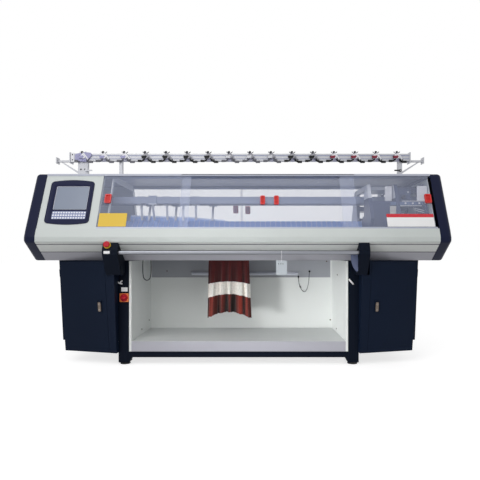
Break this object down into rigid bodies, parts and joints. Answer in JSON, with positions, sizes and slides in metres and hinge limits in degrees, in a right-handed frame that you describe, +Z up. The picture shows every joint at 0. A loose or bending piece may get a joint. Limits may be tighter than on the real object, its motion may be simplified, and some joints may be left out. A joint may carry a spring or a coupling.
{
  "type": "flat knitting machine",
  "caption": "Flat knitting machine with a V of needle beds and a carriage behind sliding doors, a sloping control panel, end cabinets, a fabric tray and a yarn stand.",
  "frame": {"origin": "centre of the bounding box at floor level, under the needle mouth's line", "axes": "+X to the right as seen from the operator's side, +Y to the back, +Z up"},
  "size_m": [2.8, 0.9277, 1.527],
  "materials": {
    "housing_paint": "satin, cool light grey",
    "cap_moulding": "matte, dark blue",
    "cabinet_paint": "satin, dark slate blue",
    "frame_paint": "satin, dark blue",
    "beam_paint": "satin, light grey",
    "dark_paint": "satin, near black",
    "lining_paint": "satin, off-white",
    "clear_pane": "clear, slightly grey",
    "track_aluminium": "satin anodised",
    "bed_steel": "ground, slightly blue",
    "rod_steel": "polished",
    "carriage_paint": "satin, dark",
    "belt_rubber": "matte",
    "cord_plastic": "matte, black",
    "lamp_plastic": "frosted white",
    "bezel_plastic": "matte, indigo",
    "screen_glass": "glossy, grey blue",
    "key_plastic": "matte, light grey",
    "stop_red": "glossy, red",
    "stop_yellow": "glossy, yellow",
    "roller_rubber": "matte",
    "card_stock": "matte, white",
    "knit_wool": "matte, knitted, banded dark red, cream and rust",
    "stand_aluminium": "satin",
    "device_plastic": "matte, black",
    "foot_rubber": "matte, black"
  },
  "bodies": {
    "machine": {"left_leg_frame": "frame_paint", "right_leg_frame": "frame_paint", "levelling_feet": "foot_rubber", "lower_beams": "dark_paint", "bed_beam": "beam_paint", "left_cabinet": "cabinet_paint", "right_cabinet": "cabinet_paint", "left_shoulder": "dark_paint", "right_shoulder": "dark_paint", "estop_base": "stop_yellow", "switch_plate": "stop_yellow", "control_panel": "housing_paint", "rear_panel": "housing_paint", "screen_bezel": "bezel_plastic", "touch_screen": "screen_glass", "keypad": "key_plastic", "front_fairing": "housing_paint", "rear_fairing": "housing_paint", "top_cover": "housing_paint", "left_end_cap": "cap_moulding", "right_end_cap": "cap_moulding", "door_tracks": "track_aluminium", "inner_walls": "lining_paint", "front_needle_bed": "bed_steel", "rear_needle_bed": "bed_steel", "carriage_rails": "rod_steel", "yarn_rails": "rod_steel", "drive_belt": "belt_rubber", "drive_motor": "dark_paint", "compartment_lining": "lining_paint", "fabric_tray": "lining_paint", "lamp_bar": "lamp_plastic", "lamp_wire": "cord_plastic", "left_cable": "cord_plastic", "hang_tag": "card_stock", "tag_string": "card_stock", "knitted_fabric": "knit_wool", "yarn_stand": "stand_aluminium", "yarn_devices": "device_plastic"},
    "left_cabinet_door": {"left_cabinet_door": "cabinet_paint"},
    "right_cabinet_door": {"right_cabinet_door": "cabinet_paint"},
    "left_door_lock": {"left_door_lock": "dark_paint"},
    "right_door_lock": {"right_door_lock": "dark_paint"},
    "operating_bar": {"operating_bar": "rod_steel"},
    "estop_button": {"estop_button": "stop_red"},
    "switch_knob": {"switch_knob": "stop_red"},
    "front_door_a": {"front_door_a": "clear_pane"},
    "front_door_b": {"front_door_b": "clear_pane"},
    "front_door_c": {"front_door_c": "clear_pane"},
    "front_door_d": {"front_door_d": "clear_pane"},
    "rear_door_left": {"rear_door_left": "clear_pane"},
    "rear_door_right": {"rear_door_right": "clear_pane"},
    "carriage": {"carriage": "carriage_paint"},
    "yarn_carrier_1": {"yarn_carrier_1": "carriage_paint"},
    "yarn_carrier_2": {"yarn_carrier_2": "carriage_paint"},
    "drive_pulley": {"drive_pulley": "rod_steel"},
    "idler_pulley": {"idler_pulley": "rod_steel"},
    "takedown_roller": {"takedown_roller": "roller_rubber"},
    "press_roller": {"press_roller": "roller_rubber"},
    "clamp_lever": {"clamp_lever": "stop_red"}
  },
  "joints": [
    {"name": "front_door_a_slide", "type": "slide", "parent": "machine", "child": "front_door_a", "axis": [1, 0, 0], "range_m": [0, 0.52]},
    {"name": "front_door_b_slide", "type": "slide", "parent": "machine", "child": "front_door_b", "axis": [-1, 0, 0], "range_m": [0, 0.53]},
    {"name": "front_door_c_slide", "type": "slide", "parent": "machine", "child": "front_door_c", "axis": [1, 0, 0], "range_m": [0, 0.5]},
    {"name": "front_door_d_slide", "type": "slide", "parent": "machine", "child": "front_door_d", "axis": [-1, 0, 0], "range_m": [0, 0.48]},
    {"name": "rear_door_left_slide", "type": "slide", "parent": "machine", "child": "rear_door_left", "axis": [1, 0, 0], "range_m": [0, 1.2]},
    {"name": "rear_door_right_slide", "type": "slide", "parent": "machine", "child": "rear_door_right", "axis": [-1, 0, 0], "range_m": [0, 0.86]},
    {"name": "right_cabinet_door_hinge", "type": "hinge", "parent": "machine", "child": "right_cabinet_door", "pos_m": [1.22517, -0.23337, 0.38464], "axis": [0.024, -0.1, 0.9947], "range_deg": [0, 100]},
    {"name": "left_cabinet_door_hinge", "type": "hinge", "parent": "machine", "child": "left_cabinet_door", "pos_m": [-1.22517, -0.23337, 0.38464], "axis": [0.024, 0.1, -0.9947], "range_deg": [0, 100]},
    {"name": "right_door_lock_hinge", "type": "hinge", "parent": "right_cabinet_door", "child": "right_door_lock", "pos_m": [0.9371, -0.32716, 0.43646], "axis": [-0.9724, -0.2334, 0], "range_deg": [0, 75]},
    {"name": "left_door_lock_hinge", "type": "hinge", "parent": "left_cabinet_door", "child": "left_door_lock", "pos_m": [-0.9371, -0.32716, 0.43646], "axis": [-0.9724, 0.2334, 0], "range_deg": [0, 75]},
    {"name": "operating_bar_turn", "type": "hinge", "parent": "machine", "child": "operating_bar", "pos_m": [0, -0.415, 0.769], "axis": [1, 0, 0], "range_deg": [-12, 12], "stiffness_Nm_per_rad": 6},
    {"name": "estop_press", "type": "slide", "parent": "machine", "child": "estop_button", "axis": [0, 0.9155, -0.4024], "range_m": [0, 0.005], "stiffness_N_per_m": 1500},
    {"name": "switch_turn", "type": "hinge", "parent": "machine", "child": "switch_knob", "pos_m": [-0.784, -0.2823, 0.4605], "axis": [0, 1, 0], "range_deg": [0, 90]},
    {"name": "clamp_turn", "type": "hinge", "parent": "machine", "child": "clamp_lever", "pos_m": [1.197, -0.0193, 1.384], "axis": [0, -1, 0], "range_deg": [0, 80]},
    {"name": "carriage_travel", "type": "slide", "parent": "machine", "child": "carriage", "axis": [-1, 0, 0], "range_m": [0, 2.2]},
    {"name": "drive_pulley_spin", "type": "hinge", "parent": "machine", "child": "drive_pulley", "pos_m": [-1.278, 0.272, 0.83], "axis": [0, -1, 0], "continuous": true},
    {"name": "idler_pulley_spin", "type": "hinge", "parent": "machine", "child": "idler_pulley", "pos_m": [1.278, 0.272, 0.83], "axis": [0, -1, 0], "continuous": true},
    {"name": "yarn_carrier_1_travel", "type": "slide", "parent": "machine", "child": "yarn_carrier_1", "axis": [1, 0, 0], "range_m": [-0.6, 1.88]},
    {"name": "yarn_carrier_2_travel", "type": "slide", "parent": "machine", "child": "yarn_carrier_2", "axis": [1, 0, 0], "range_m": [-0.82, 1.68]},
    {"name": "takedown_roller_spin", "type": "hinge", "parent": "machine", "child": "takedown_roller", "pos_m": [0, 0.0266, 0.748], "axis": [1, 0, 0], "continuous": true},
    {"name": "press_roller_spin", "type": "hinge", "parent": "machine", "child": "press_roller", "pos_m": [0, -0.0266, 0.748], "axis": [1, 0, 0], "continuous": true}
  ],
  "couplings": [
    {"joint": "drive_pulley_spin", "follows": "carriage_travel", "rad_per_m": 36.364},
    {"joint": "idler_pulley_spin", "follows": "carriage_travel", "rad_per_m": 36.364},
    {"joint": "press_roller_spin", "follows": "takedown_roller_spin", "ratio": -1}
  ]
}
